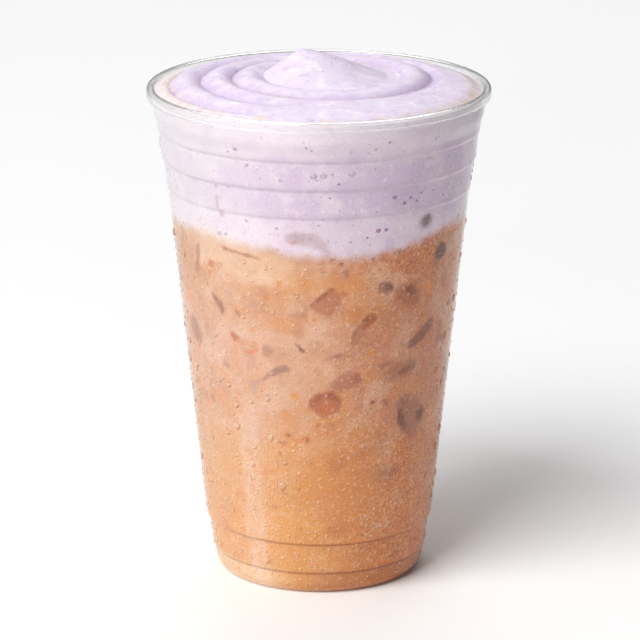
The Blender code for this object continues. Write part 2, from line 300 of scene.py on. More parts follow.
# Larger drops on the cup: degrees round from the front, height, width and length in mm
DROPS = (
    (-32.5, 39.7, 2.3, 2.3), (-40, 39, 1.6, 1.7), (-32, 35.3, 1.3, 1.3), (-31, 31, 1.2, 1.3),
    (-33.5, 25.8, 1.5, 1.5), (-15.5, 41.3, 1.7, 1.7), (-19.5, 40.6, 1.1, 1.2),
    (-17.6, 34.3, 2.7, 3.7), (-22, 48.7, 2.2, 2.3), (-46, 47.5, 1.8, 1.9), (-52, 31, 1.4, 1.5),
    (-28.5, 9.8, 2.6, 2.4), (-39, 9.8, 1.3, 1.3), (-11.5, 12.3, 1.2, 1.2), (32.5, 43, 1.9, 2.1),
    (40, 40.4, 1.7, 1.7), (29.5, 20.7, 1.9, 2), (26.5, 27.8, 1.4, 1.4), (17.5, 11.5, 1.7, 1.7),
    (-6.5, 41.7, 1.2, 1.3), (48, 35, 1.3, 1.4), (-5, 20, 1.6, 1.6), (-19, 21.5, 1.2, 1.2),
    (-15, 18.8, 1.3, 1.3), (0, 35, 1.2, 1.3), (59, 23.3, 1.1, 1.1), (-39, 57, 2.2, 2.3),
    (-39.5, 50.3, 2.3, 2.5), (-42.5, 62.5, 1.9, 1.9), (-48.3, 63, 1.6, 1.7), (-32, 84.3, 1.9, 1.8),
    (-22.8, 60.5, 1.8, 2), (-31, 58.7, 1.5, 1.6), (-17, 92.7, 1.6, 1.5), (-18.7, 86.7, 1.4, 1.5),
    (-30, 100.7, 1.5, 1.5), (12, 76, 1.8, 1.8), (17, 71.6, 1.8, 1.9), (31, 86.5, 1.6, 1.7),
    (-6.3, 95.9, 1.3, 1.4), (42, 128.2, 4.6, 3.6), (53, 128, 2, 2.6),
)
DROP_SEED = 5
DROP_COUNT = 210
DROP_HEIGHTS = (6, 128)
DROP_SIZES = (1, 1.3)
HIDDEN_DROP_SIZES = (1, 2.4)
DROP_STRETCH = (0.95, 1.35)
DROP_SINK = 0.06 * MM

# Mist of fine beads, closer together low down and sparse on the foam
BEAD_SEED = 23
BEAD_TRIES = 17000
BEAD_HEIGHTS = (4.5 * MM, 130 * MM)
BEAD_SPACING = (1.2 * MM, 2 * MM)
BEAD_SIZES = (0.36 * MM, 1.15 * MM)
BEAD_STRETCH = (1, 1.45)
BEAD_SPARSE_FROM = 102 * MM
BEAD_SPARSE_SHARE = 0.3
BEAD_STEP_MARGIN = 0.9 * MM

# Domes: heights as shares of the half width, sides, and outlines from the foot up
BEAD_RISE = 0.32
DROP_RISE = 0.42
BEAD_SIDES = 7
DROP_SIDES = 20
MARK_SIDES = 12
FLECK_SIDES = 8
MARK_LENGTH = 0.85
BEAD_LEVELS = ((1, 0), (0.78, 0.62))
DROP_LEVELS = ((1, 0), (0.97, 0.24), (0.84, 0.55), (0.62, 0.79), (0.33, 0.95))
MARK_LEVELS = ((1, 0), (0.92, 0.55), (0.55, 0.9))
FLECK_LEVELS = ((1, 0), (0.7, 0.7))

# Fog on the cup in streaks, which also paint a sheen onto the wall: degrees round to the middle,
# half widths of its core and of all of it, height of its top in mm, and share of the light that it
# scatters
FOG_AND_SHEEN_STREAKS = (
    (-44, 10, 34, 125, 0.07),
    (-32.5, 2.8, 7.4, 50, 0.12),
    (25, 3.5, 7, 60, 0.014),
    (122, 12, 46, 120, 0.06),
)
FOG_WANDER = 9
FOG_LEAST = 0.006
RIM_FOG = 0.015
RIM_FOG_HEIGHTS = (136.5 * MM, 140.5 * MM)

# Bubbles of the foam against the wall, and flecks in it: degrees, height and size in mm
BUBBLES = (
    (-2, 127.3, 2.2), (1.5, 127.5, 2.3), (4.6, 128, 1.2), (11.5, 128, 2.3), (10.5, 134.3, 1.4),
    (19.5, 134.7, 1.2), (17, 133.6, 0.8), (-4.5, 135.7, 0.9), (-2.5, 134.9, 0.8), (43.5, 135.5, 0.8),
    (-28, 113, 1.2), (-16, 111.7, 1.2), (0, 113, 1), (-41, 108, 1.8), (-37.8, 108.2, 1.3),
    (-13.5, 126, 1.4),
)
BUBBLE_THICKNESS = 0.12 * MM
FLECKS = (
    (-30, 134, 1.5), (-33, 132.8, 0.8), (24.5, 136.3, 0.9), (7, 125, 0.9), (28.5, 119.8, 1.6),
    (35.5, 119, 1.2), (33, 117.7, 1.4), (38.5, 117.8, 0.9), (40.5, 119.8, 1), (46.5, 119.8, 0.8),
    (52.5, 117.6, 0.8), (22.8, 110.5, 1.6), (26, 110.5, 1.3), (18.5, 108.7, 0.9), (12, 107.8, 0.7),
    (-35, 122.3, 1), (-40.5, 121.8, 1.3), (-51, 131, 0.8), (-26, 129.5, 1.3), (-21, 126, 0.8),
)
FLECK_THICKNESS = 0.1 * MM
FLECK_SEED = 8
SIDE_FLECKS = 150
FLECK_LOWEST = 106
FLECK_SPREAD = 31
FLECK_LEAST = 0.25
FLECK_EXTRA = 0.45
HIDDEN_FLECK_EXTRA = 1
TOP_FLECKS = 230
TOP_FLECK_REACH = 41 * MM
TOP_FLECK_SIZES = (0.22, 0.75)
TOP_FLECK_BIAS = 1.3
TOP_FLECK_STRETCH = (0.6, 1)
TOP_FLECK_HEIGHT = 0.14 * MM
TOP_FLECK_SINK = 0.06 * MM
SLOPE_REACH = 0.3 * MM

# Colours of the foam's top from crest to hollow, a painted shade that deepens into the creases;
# half width of the cup inside the froth
TOP_STOPS = (
    (0, (246, 240, 246)),
    (0.3, (226, 212, 232)),
    (0.6, (211, 195, 222)),
    (1, (190, 169, 204)),
)
FROTH_REACH = 44 * MM

# Colours of the foam from its foot to its top and of the drink from its base to the foam
FOAM_SPAN = (104 * MM, 144 * MM)
FOAM_STOPS = (
    (0, (228, 208, 220)),
    (0.2, (228, 208, 222)),
    (0.34, (214, 192, 214)),
    (0.6, (214, 192, 214)),
    (0.78, (226, 210, 222)),
    (1, (232, 222, 228)),
)
DRINK_SPAN = (0, 104 * MM)
DRINK_STOPS = (
    (0, (216, 152, 88)),
    (0.15, (226, 159, 94)),
    (0.4, (220, 158, 102)),
    (0.58, (218, 164, 130)),
    (0.75, (216, 162, 130)),
    (0.9, (212, 154, 112)),
    (1, (208, 152, 116)),
)

# Dots in a colour: cell, share of cells, radius in cells, seed, strength and colour
SPICE = (
    (4.2 * MM, 0.34, 0.26, 0.77, 0.5, (220, 124, 40)),
    (2.4 * MM, 0.3, 0.24, 0.13, 0.5, (226, 138, 52)),
    (3.4 * MM, 0.2, 0.18, 0.59, 0.4, (140, 74, 46)),
)
PORES = (
    (2.3 * MM, 0.3, 0.24, 0, 0.6, (196, 174, 196)),
    (1.2 * MM, 0.3, 0.28, 0.31, 0.5, (204, 184, 204)),
)
# Mist painted as pale highlights, each with painted shade below it: cell and seed; its share of
# cells, and radii of its shade and shine
MIST_CELLS = ((1.6 * MM, 0.83), (1.1 * MM, 0.37))
MIST_SHARE = 0.55
MIST_SHADE_RADIUS = 0.31
MIST_SHINE_RADIUS = 0.28

# Water: light that it scatters, gloss, index, tint, reach of the painted shade on the lower
# right edge, and strength of the painted dark ring round each drop
MIST_WATER = {"cloudiness": 0.08, "shine": 0.03, "bend": 1.18, "light": (1, 0.94, 0.84, 1),
              "edge": (0.12, 0.62), "outline": 0.0}
DROP_WATER = {"cloudiness": 0.07, "shine": 0.12, "bend": 1.2, "light": (1, 0.94, 0.86, 1),
              "edge": (0.14, 0.5), "outline": 0.6}

# Mesh density
SHARP_ANGLE = 55
CUP_TURNS = 192
FOAM_TURNS = 320
FOAM_SIDE_RINGS = 110
FOAM_TOP_RINGS = 150
LATTE_TURNS = 430
LATTE_SIDE_RINGS = 180
BOUNDARY_RINGS = 8

# Camera, in metres, degrees and mm
CAMERA_DISTANCE = 0.98809
CAMERA_HEIGHT = 0.36228
CAMERA_SIDE = 0.0003
CAMERA_PITCH = 16.298
CAMERA_LENS = 200.2
CAMERA_SENSOR = 36

# Lights: name, degrees round from the front and up, distance, size and power
LIGHTS = (
    ("key", -38, 52, 2.4, (1.3, 1.3), 49),
    ("strip", -66, 24, 1.1, (0.22, 0.9), 2),
    ("edge", 52, 26, 1.2, (0.14, 0.7), 0.4),
)
LIGHT_TARGET = (0, 0, 0.08)
BACKDROP_PLACE = (0.1, 1.25, 1.3)
BACKDROP_TARGET = (0.1, 0.85, 0)
BACKDROP_SIZE = (1.2, 0.7)
BACKDROP_POWER = 9
SKY = {"From Min": -0.9, "From Max": 0.7, "To Min": 0.46, "To Max": 0.05}
FLOOR_HALF = 6


# --- Small helpers -----------------------------------------------------------------------

def smoothstep(value):
    value = np.clip(value, 0.0, 1.0)
    return value * value * (3.0 - 2.0 * value)


def rgb(red, green, blue):
    """Linear colour from a screen colour of 0 to 255."""
    values = []
    for part in (red, green, blue):
        part /= 255.0
        values.append(part / 12.92 if part <= 0.04045 else ((part + 0.055) / 1.055) ** 2.4)
    return (*values, 1.0)


def wave_sum(waves, angle):
    return sum(height * np.cos(count * angle - math.radians(turn))
               for count, height, turn in waves)


def noise_field(points, scale, seed, octaves=2):
    """Soft noise of about -1 to 1 at each point; scale is the size of its features."""
    shift = Vector((seed * 7.31, seed * 3.17, seed * 5.93))
    return np.array([noise.fractal(Vector(point) / scale + shift, 0.8, 2.0, octaves)
                     for point in points])


def add_object(name, data):
    item = bpy.data.objects.new(name, data)
    bpy.context.scene.collection.objects.link(item)
    return item


def link_mesh(name, verts, faces, finish, slot):
    data = bpy.data.meshes.new(name)
    data.from_pydata([tuple(v) for v in verts], [], faces)
    data.validate()
    data.materials.append(finish)
    data.shade_smooth()
    data.set_sharp_from_angle(angle=math.radians(SHARP_ANGLE))
    item = add_object(name, data)
    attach(item, "root")
    return item


def set_attribute(item, name, values, kind="FLOAT", field="value"):
    layer = item.data.attributes.new(name, kind, "POINT")
    layer.data.foreach_set(field, np.asarray(values, dtype=np.float32).ravel())


# --- Outlines ----------------------------------------------------------------------------

def wall_radius(height):
    """Radius of the cup's outer face: a straight taper with a soft step at each level."""
    height = np.asarray(height, dtype=float)
    radius = FOOT_RADIUS + WALL_SLOPE * height
    for level, width in STEPS:
        radius = radius + width * smoothstep((height - level) / STEP_HEIGHT + 0.5)
    neck = smoothstep((height - NECK_START) / (NECK_END - NECK_START))
    above = NECK_RADIUS - radius
    return radius + np.where(height > NECK_START, above * neck, 0.0)


def arc(centre, radius_x, radius_z, start, end, count):
    angles = np.radians(np.linspace(start, end, count))
    return [(centre[0] + radius_x * math.cos(a), centre[1] + radius_z * math.sin(a))
            for a in angles]


def wall_heights():
    """Heights for the wall's rings: close together at the steps, wide apart between them."""
    heights = []
    for level, _ in STEPS:
        heights += list(level + STEP_HEIGHT * np.linspace(-0.6, 0.6, 9))
    heights += list(np.linspace(*PLAIN_WALL, 13))
    heights += list(np.linspace(NECK_START, NECK_END, 7))
    return sorted(heights + list(BETWEEN_STEPS))


def cup_centreline():
    """Middle of the sheet from the base's centre, up the wall, to the neck."""
    half = SHEET / 2.0
    heel_width = float(wall_radius(HEEL_HEIGHT)) - half - RING_OUTER_RADIUS
    floor = BASE_RECESS + half
    points = [(0.0, floor), (0.6 * RECESS_RADIUS, floor), (RECESS_RADIUS, floor)]
    for share in np.linspace(0.0, 1.0, 7)[1:]:
        reach = RECESS_RADIUS + share * (RING_INNER_RADIUS - RECESS_RADIUS)
        points.append((reach, floor - BASE_RECESS * float(smoothstep(share))))
    points += arc((RING_OUTER_RADIUS, HEEL_HEIGHT), heel_width, HEEL_HEIGHT - half, -90, 0, 10)
    points += [(float(wall_radius(h)) - half, h) for h in wall_heights() if h > HEEL_HEIGHT]
    return points


def curl_centreline():
    """Rolled rim: the sheet turns outwards over the top and tucks back in below."""
    half = SHEET / 2.0
    outer = RIM_RADIUS - half
    inner = RIM_RADIUS - CURL_WIDTH + half
    bend = (outer - inner) / 2.0
    centre = (inner + bend, CUP_HEIGHT - half - bend)
    points = [(inner, NECK_END + 0.5 * (centre[1] - NECK_END))]
    points += arc(centre, bend, bend, 180, 0, 17)
    tip = CUP_HEIGHT - CURL_DROP + half
    points += arc((outer - CURL_TUCK, tip + CURL_TUCK), CURL_TUCK, CURL_TUCK, 0, -90, 6)
    return points


def offset(points, distance):
    """The outline moved sideways by a distance, to its left as seen along it."""
    line = np.array(points)
    runs = np.diff(line, axis=0)
    normals = np.stack([-runs[:, 1], runs[:, 0]], axis=1)
    normals /= np.linalg.norm(normals, axis=1)[:, None]
    before = np.vstack([normals[:1], normals])
    after = np.vstack([normals, normals[-1:]])
    mitre = before + after
    mitre /= np.linalg.norm(mitre, axis=1)[:, None]
    stretch = distance / np.maximum((mitre * before).sum(axis=1), 0.5)
    return line + mitre * stretch[:, None]


def content_radius(height):
    """Contents reach just into the sheet, so that no air shows between."""
    return wall_radius(height) - SHEET + OVERLAP


# --- Turned meshes -----------------------------------------------------------------------

def round_angles(turns):
    return np.linspace(0.0, math.tau, turns, endpoint=False)


def ring(radius, height, angles):
    """Points round the axis; radius and height are one value each or one for each angle."""
    return np.column_stack([radius * np.cos(angles), radius * np.sin(angles),
                            np.full_like(angles, height)])


def ring_grid(rings, turns):
    """Faces that join rings of vertices, each ring turns long, one after another."""
    faces = []
    for start in range(0, (rings - 1) * turns, turns):
        for index in range(turns):
            following = (index + 1) % turns
            faces.append((start + index, start + following,
                          start + turns + following, start + turns + index))
    return faces


def cap_faces(start, turns, tip, flip):
    faces = []
    for index in range(turns):
        face = (start + index, start + (index + 1) % turns, tip)
        faces.append(face[::-1] if flip else face)
    return faces


def close_rings(rings, low_tip, high_tip):
    """Vertices and faces of rings that a tip closes at each end; the tips come last."""
    turns = len(rings[0])
    tip = len(rings) * turns
    faces = ring_grid(len(rings), turns) + cap_faces(0, turns, tip, True)
    faces += cap_faces(tip - turns, turns, tip + 1, False)
    return np.vstack([*rings, [low_tip, high_tip]]), faces


def boundary_height(share, angle):
    return FOAM_LEVEL + wave_sum(BOUNDARY_WAVES, angle) * share ** 2


def boundary_rings(angles, shares):
    """Rings on the face between foam and drink, at shares of the way out to the wall."""
    heights = [boundary_height(share, angles) for share in shares]
    return [ring(content_radius(z) * share, z, angles) for z, share in zip(heights, shares)]


def side_rings(angles, low, high, count):
    """Rings against the wall, above one height and up to another."""
    heights = [low + (high - low) * step / count for step in range(1, count + 1)]
    return [ring(content_radius(z), z, angles) for z in heights]


def make_cup(finish):
    body = cup_centreline() + curl_centreline()
    outline = np.vstack([offset(body, -SHEET / 2.0), offset(body, SHEET / 2.0)[::-1]])
    rings = [ring(r, z, round_angles(CUP_TURNS)) for r, z in outline[1:-1]]
    tips = [(0.0, 0.0, outline[end][1]) for end in (0, -1)]
    cup = link_mesh("clear_cup", *close_rings(rings, *tips), finish, "clear_plastic")
    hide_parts("cup")


# --- Foam --------------------------------------------------------------------------------

def step_between(value, limits):
    return smoothstep((value - limits[0]) / (limits[1] - limits[0]))


def ridge_field(x, y, wall_distance):
    """Height of the swirl's ridges, and how deep each point lies in a crease between them."""
    across = x - SWIRL_CENTRE[0]
    along = y - SWIRL_CENTRE[1]
    angle = np.arctan2(along, across)
    turn = ((angle - math.pi / 2.0) % math.tau) / math.tau
    phase = (np.hypot(across, along) - SWIRL_START) / SWIRL_PITCH - turn
    crest = np.sin(math.pi * (phase % 1.0)) ** RIDGE_ROUNDNESS
    strength = RIDGE_FRONT_SHARE + (1.0 - RIDGE_FRONT_SHARE) * np.cos(angle) ** 2
    height = RIDGE_HEIGHT * strength * crest
    smooth = step_between(turn, SMOOTH_START) * (1.0 - step_between(turn, SMOOTH_END))
    plain = SMOOTH_HEIGHT * smoothstep((phase - 1.0) / SMOOTH_RISE)
    height = np.where(phase < 1.0, height * smoothstep(turn / SWIRL_FADE),
                      height + smooth * (plain - height))
    fade = smoothstep(2.0 * wall_distance / SWIRL_PITCH)
    height = np.where(phase > 0.0, height * fade, 0.0)
    crease = np.where(phase > 0.0, (1.0 - crest) * (1.0 - smooth * (phase > 1.4)) * fade, 0.0)
    return height, crease


def cone_field(x, y, dome):
    """Height of the cone over the dome; its foot is a circle round the swirl's centre."""
    across = x - PEAK[0]
    along = y - PEAK[1]
    reach = np.maximum(np.hypot(across, along), 1e-9)
    lean_x = PEAK[0] - SWIRL_CENTRE[0]
    lean_y = PEAK[1] - SWIRL_CENTRE[1]
    inward = -(lean_x * across + lean_y * along) / reach
    foot = inward + np.sqrt(inward ** 2 + CONE_RADIUS ** 2 - lean_x ** 2 - lean_y ** 2)
    share = np.maximum(1.0 - reach / foot, 0.0)
    facing = np.cos(np.arctan2(along, across) - math.radians(CONE_BULGE_TURN))
    bulge = 1.0 + CONE_BULGE * np.maximum(facing, 0.0) * share * (1.0 - share)
    return (PEAK_HEIGHT - dome) * bulge * share ** CONE_SHARPNESS


def foam_top(x, y):
    """Height of the foam's top, and how deep each point lies in a crease."""
    wall = content_radius(FOAM_EDGE)
    radius = np.hypot(x, y)
    dome = FOAM_EDGE + DOME_HEIGHT * (1.0 - np.minimum(radius / wall, 1.0) ** DOME_FULLNESS)
    ridges, crease = ridge_field(x, y, wall - radius)
    return dome + ridges + cone_field(x, y, dome), crease


# --- Marks at the wall -------------------------------------------------------------------

def hidden_side_stains():
    """Pieces of ice and chai for the side that the catalogue leaves out, from one seed."""
    draw = random.Random(STAIN_SEED)
    stains = []
    for index in range(STAIN_COUNT):
        angle = FRONT_SIDE + HIDDEN_TURN * (index + draw.random()) / STAIN_COUNT
        length = STAIN_LEAST_LENGTH + STAIN_EXTRA_LENGTH * draw.random() ** SMALL_BIAS
        width = length * draw.uniform(*STAIN_WIDTHS)
        stains.append((angle, draw.uniform(*STAIN_HEIGHTS), length, width,
                       draw.uniform(*STAIN_SLOPES), draw.uniform(*STAIN_STRENGTHS),
                       draw.choice(STAIN_KINDS), draw.uniform(*STAIN_SOFTNESS)))
    return stains


def spot_patch(stain):
    """A spot as a patch: an outline of corners round an ellipse."""
    turn, height, length, width, slope, strength, kind, softness = stain
    arm = float(content_radius(height * MM)) / MM
    tilt = math.radians(slope)
    corners = []
    for step in range(SPOT_CORNERS):
        angle = math.tau * step / SPOT_CORNERS
        ahead = 0.5 * length * math.cos(angle)
        aside = 0.5 * width * math.sin(angle)
        along = ahead * math.cos(tilt) - aside * math.sin(tilt)
        corners.append((turn + math.degrees(along / arm),
                        height + ahead * math.sin(tilt) + aside * math.cos(tilt)))
    edge = max(SPOT_SOFTNESS * softness * width, SPOT_LEAST_SOFTNESS)
    return STAIN_COLOURS[kind], strength, edge, tuple(corners)


def seen_on_wall(pixels):
    """Places on the wall, as degrees from the front and mm up, that pixels of the frame show."""
    across, down = ((np.array(pixels) / FRAME_SIZE - 0.5) * CAMERA_SENSOR / CAMERA_LENS).T
    pitch = math.radians(CAMERA_PITCH)
    ahead = math.cos(pitch) - down * math.sin(pitch)
    climb = -math.sin(pitch) - down * math.cos(pitch)
    square = across ** 2 + ahead ** 2
    half = CAMERA_DISTANCE * ahead - CAMERA_SIDE * across
    height = np.full(len(pixels), FOAM_LEVEL)
    for _ in range(SIGHT_ROUNDS):
        beyond = CAMERA_SIDE ** 2 + CAMERA_DISTANCE ** 2 - wall_radius(height) ** 2
        reach = (half - np.sqrt(np.maximum(half ** 2 - square * beyond, 0.0))) / square
        height = CAMERA_HEIGHT + reach * climb
    turn = np.arctan2(CAMERA_SIDE + reach * across, CAMERA_DISTANCE - reach * ahead)
    return np.degrees(turn), height / MM


def seen_stain(stain):
    """A spot that starts with a pixel, as one that starts with its place on the wall."""
    turns, heights = seen_on_wall([stain[:2]])
    return turns[0], heights[0], *stain[2:]


def seen_patch(patch):
    """A patch with its corners in pixels, as one with places on the wall."""
    tint, gains, strength, softness, pixels = patch
    turns, heights = seen_on_wall(pixels)
    gain = np.interp(turns.mean(), *zip(*PATCH_GAIN)) if gains else 1.0
    tint = [min(part * gain, 255.0) for part in tint]
    return tint, strength, softness, tuple(zip(turns, heights))


def outline_distance(along, height, corners):
    """Distance of points from a closed outline; it is negative inside."""
    inside = np.zeros(len(along), dtype=bool)
    nearest = np.full(len(along), np.inf)
    for (x0, z0), (x1, z1) in zip(corners, corners[1:] + corners[:1]):
        run = x1 - x0
        climb = z1 - z0
        share = ((along - x0) * run + (height - z0) * climb) / (run ** 2 + climb ** 2)
        share = np.clip(share, 0.0, 1.0)
        gap = np.hypot(along - x0 - share * run, height - z0 - share * climb)
        nearest = np.minimum(nearest, gap)
        crosses = (z0 > height) != (z1 > height)
        inside ^= crosses & (along < x0 + (height - z0) * run / (climb or 1.0))
    return np.where(inside, -nearest, nearest)


def paint_patch(colour, alpha, angle, points, warp, patch):
    """Lay one soft-edged patch over the colour that the earlier marks left."""
    tint, strength, softness, corners = patch
    turns, heights = np.array(corners).T
    middle = 0.5 * (turns.min() + turns.max())
    arm = float(content_radius(heights.mean() * MM)) / MM
    outline = tuple(zip(np.radians(turns - middle) * arm, heights))
    along = ((angle - math.radians(middle) + math.pi) % math.tau - math.pi) * arm
    z = points[:, 2] / MM
    margin = softness + PATCH_MARGIN
    reach = np.radians(turns.max() - middle) * arm + margin
    near = np.flatnonzero((np.abs(along) < reach) & (z > heights.min() - margin)
                          & (z < heights.max() + margin))
    gap = outline_distance(along[near], z[near], outline) + PATCH_RAGGED * warp[near]
    cover = strength * smoothstep(0.5 - gap / (PATCH_BLUR * softness))[:, None]
    colour[near] = colour[near] * (1.0 - cover) + np.array(rgb(*tint)[:3]) * cover
    alpha[near] = alpha[near] * (1.0 - cover) + cover


def mark_contents(item):
    """Store on each point its height over the drink's edge, in mm, and the marks' colour."""
    points = np.empty(3 * len(item.data.vertices))
    item.data.vertices.foreach_get("co", points)
    points = points.reshape(-1, 3)
    angle = np.arctan2(points[:, 1], points[:, 0])
    rise = points[:, 2] - boundary_height(1.0, angle)
    front = angle + math.pi / 2.0
    warp = sum(share * noise_field(points, size, seed) for size, seed, share in OUTLINE_NOISE)
    creep = CREEP_HEIGHT * np.exp(-((np.degrees(front) - CREEP_TURN) / CREEP_SPREAD) ** 2)
    edge = DRINK_RAGGED * noise_field(points, *EDGE_NOISE)
    set_attribute(item, "rise", (rise - creep - DRINK_RISE + edge) / MM)
    colour = np.zeros((len(points), 3))
    alpha = np.zeros((len(points), 1))
    stains = (*STAINS, *map(seen_stain, SEEN_STAINS), *hidden_side_stains())
    spots = [spot_patch(stain) for stain in stains]
    for patch in (*spots, *TONES, *map(seen_patch, PATCHES)):
        paint_patch(colour, alpha, front, points, warp, patch)
    set_attribute(item, "marks", np.hstack([colour, alpha]), "FLOAT_COLOR", "color")


def make_foam(finish):
    angles = round_angles(FOAM_TURNS)
    wall = content_radius(FOAM_EDGE)
    rings = boundary_rings(angles, np.linspace(0.0, 1.0, BOUNDARY_RINGS)[1:])
    rings += side_rings(angles, boundary_height(1.0, angles), FOAM_EDGE, FOAM_SIDE_RINGS)
    below = np.zeros(FOAM_TURNS * len(rings))
    creases = [below]
    edges = [below]
    for step in range(1, FOAM_TOP_RINGS):
        share = 1.0 - step / FOAM_TOP_RINGS
        x = PEAK[0] * (1.0 - share) + wall * share * np.cos(angles)
        y = PEAK[1] * (1.0 - share) + wall * share * np.sin(angles)
        z, crease = foam_top(x, y)
        rings.append(np.column_stack([x, y, z]))
        creases.append(crease)
        edges.append((wall - np.hypot(x, y)) / MM)
    verts, faces = close_rings(rings, (0.0, 0.0, FOAM_LEVEL), (*PEAK, PEAK_HEIGHT))
    foam = link_mesh("foam_layer", verts, faces, finish, "lilac_foam")
    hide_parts("cold_foam")
    mark_contents(foam)
    on_top = np.ones(len(verts))
    on_top[:len(below)] = 0.0
    on_top[-2] = 0.0
    set_attribute(foam, "top", on_top)
    set_attribute(foam, "crease", np.concatenate([*creases, np.zeros(2)]))
    set_attribute(foam, "edge", np.concatenate([*edges, np.full(2, wall / MM)]))


# --- Drink -------------------------------------------------------------------------------

def make_latte(finish):
    angles = round_angles(LATTE_TURNS)
    floor = [p for p in offset(cup_centreline(), SHEET / 2.0 - OVERLAP)
             if p[1] < LATTE_FLOOR_END]
    rings = [ring(r, z, angles) for r, z in floor[1:]]
    rings += side_rings(angles, floor[-1][1], boundary_height(1.0, angles), LATTE_SIDE_RINGS)
    rings += boundary_rings(angles, np.linspace(1.0, 0.0, BOUNDARY_RINGS)[1:-1])
    verts, faces = close_rings(rings, (0.0, 0.0, floor[0][1]), (0.0, 0.0, FOAM_LEVEL))
    latte = link_mesh("drink", verts, faces, finish, "milky_tea")
    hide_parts("latte")
    mark_contents(latte)


# --- Drops, bubbles and flecks -----------------------------------------------------------

def dome_template(sides, levels):
    """Unit dome with a flat underside: rings of (radius, height), then a tip at height 1."""
    verts = np.vstack([*(ring(r, h, round_angles(sides)) for r, h in levels), (0.0, 0.0, 1.0)])
    faces = ring_grid(len(levels), sides)
    faces += cap_faces((len(levels) - 1) * sides, sides, len(verts) - 1, False)
    return verts, faces + [tuple(range(sides))[::-1]]


def wall_frame(turn, height, radius):
    """Place and directions (round, up and out) on a wall at degrees from the front."""
    angle = np.radians(turn) - math.pi / 2.0
    lean = math.atan(WALL_SLOPE)
    radial = ring(1.0, 0.0, angle)
    upright = np.array([0.0, 0.0, 1.0])
    out = radial * math.cos(lean) - upright * math.sin(lean)
    up = radial * math.sin(lean) + upright * math.cos(lean)
    return radial * radius[:, None] + upright * height[:, None], np.cross(up, out), up, out


def place_domes(name, finish, slot, template, frames, widths, lengths, heights, sink):
    """One mesh of many small domes, each in its own frame, sunk a little into the surface."""
    unit, unit_faces = template
    place, across, up, out = frames
    verts = (place[:, None, :]
             + across[:, None, :] * (unit[:, 0] * widths[:, None])[:, :, None]
             + up[:, None, :] * (unit[:, 1] * lengths[:, None])[:, :, None]
             + out[:, None, :] * (unit[:, 2] * heights[:, None] - sink)[:, :, None])
    faces = [tuple(index + start * len(unit) for index in face)
             for start in range(len(place)) for face in unit_faces]
    link_mesh(name, verts.reshape(-1, 3), faces, finish, slot)


def clear_of_steps(height, margin):
    return all(abs(height - level) > margin for level, _ in STEPS)


def scattered_beads():
    """Fine mist on the wall, each bead clear of the others and closer together low down."""
    draw = random.Random(BEAD_SEED)
    cell = BEAD_SPACING[1]
    taken = {}
    beads = []
    for _ in range(BEAD_TRIES):
        turn = draw.uniform(-180.0, 180.0)
        height = draw.uniform(*BEAD_HEIGHTS)
        sparse = height > BEAD_SPARSE_FROM and draw.random() > BEAD_SPARSE_SHARE
        if sparse or not clear_of_steps(height, BEAD_STEP_MARGIN):
            continue
        level = (height - BEAD_HEIGHTS[0]) / (BEAD_HEIGHTS[1] - BEAD_HEIGHTS[0])
        spacing = BEAD_SPACING[0] + (BEAD_SPACING[1] - BEAD_SPACING[0]) * level
        along = math.radians(turn) * float(wall_radius(height))
        key = (int(along // cell), int(height // cell))
        around = [bead for i in (-1, 0, 1) for j in (-1, 0, 1)
                  for bead in taken.get((key[0] + i, key[1] + j), ())]
        if any(math.hypot(along - b[0], height - b[1]) < spacing for b in around):
            continue
        taken.setdefault(key, []).append((along, height))
        size = BEAD_SIZES[0] + (BEAD_SIZES[1] - BEAD_SIZES[0]) * draw.random() ** SMALL_BIAS
        beads.append((turn, height, size, size * draw.uniform(*BEAD_STRETCH)))
    return beads


def larger_drops():
    """The catalogued drops in front and others of the same kinds all round."""
    draw = random.Random(DROP_SEED)
    drops = [(turn, z * MM, width * MM, length * MM) for turn, z, width, length in DROPS]
    while len(drops) < DROP_COUNT:
        turn = draw.uniform(-180.0, 180.0)
        height = draw.uniform(*DROP_HEIGHTS) * MM
        sizes = HIDDEN_DROP_SIZES if abs(turn) > FRONT_SIDE else DROP_SIZES
        size = draw.uniform(*sizes) * MM
        if clear_of_steps(height, size):
            drops.append((turn, height, size, size * draw.uniform(*DROP_STRETCH)))
    return drops


def water_on_wall(name, table, finish, sides, levels, rise):
    turn, height, width, length = np.array(table).T
    frames = wall_frame(turn, height, wall_radius(height))
    place_domes(name, finish, "water", dome_template(sides, levels), frames, width / 2.0,
                length / 2.0, DROP_SINK + rise * np.minimum(width, length) / 2.0, DROP_SINK)


def side_marks(table, name, finish, slot, thickness):
    """Flat round marks that lie against the inside of the wall."""
    turn, height, size = np.array(table).T
    height = height * MM
    half = size * MM / 2.0
    frames = wall_frame(turn, height, content_radius(height))
    place_domes(name, finish, slot, dome_template(MARK_SIDES, MARK_LEVELS), frames, half,
                MARK_LENGTH * half, np.full(len(half), thickness + DROP_SINK), DROP_SINK)


def random_side_flecks():
    """Flecks all round at the wall, larger on the side that the catalogue leaves out."""
    draw = random.Random(FLECK_SEED)
    flecks = []
    for _ in range(SIDE_FLECKS):
        turn = draw.uniform(-180.0, 180.0)
        height = FLECK_LOWEST + FLECK_SPREAD * draw.random()
        extra = FLECK_EXTRA if abs(turn) < FRONT_SIDE else HIDDEN_FLECK_EXTRA
        flecks.append((turn, height, FLECK_LEAST + extra * draw.random() ** 2))
    return flecks


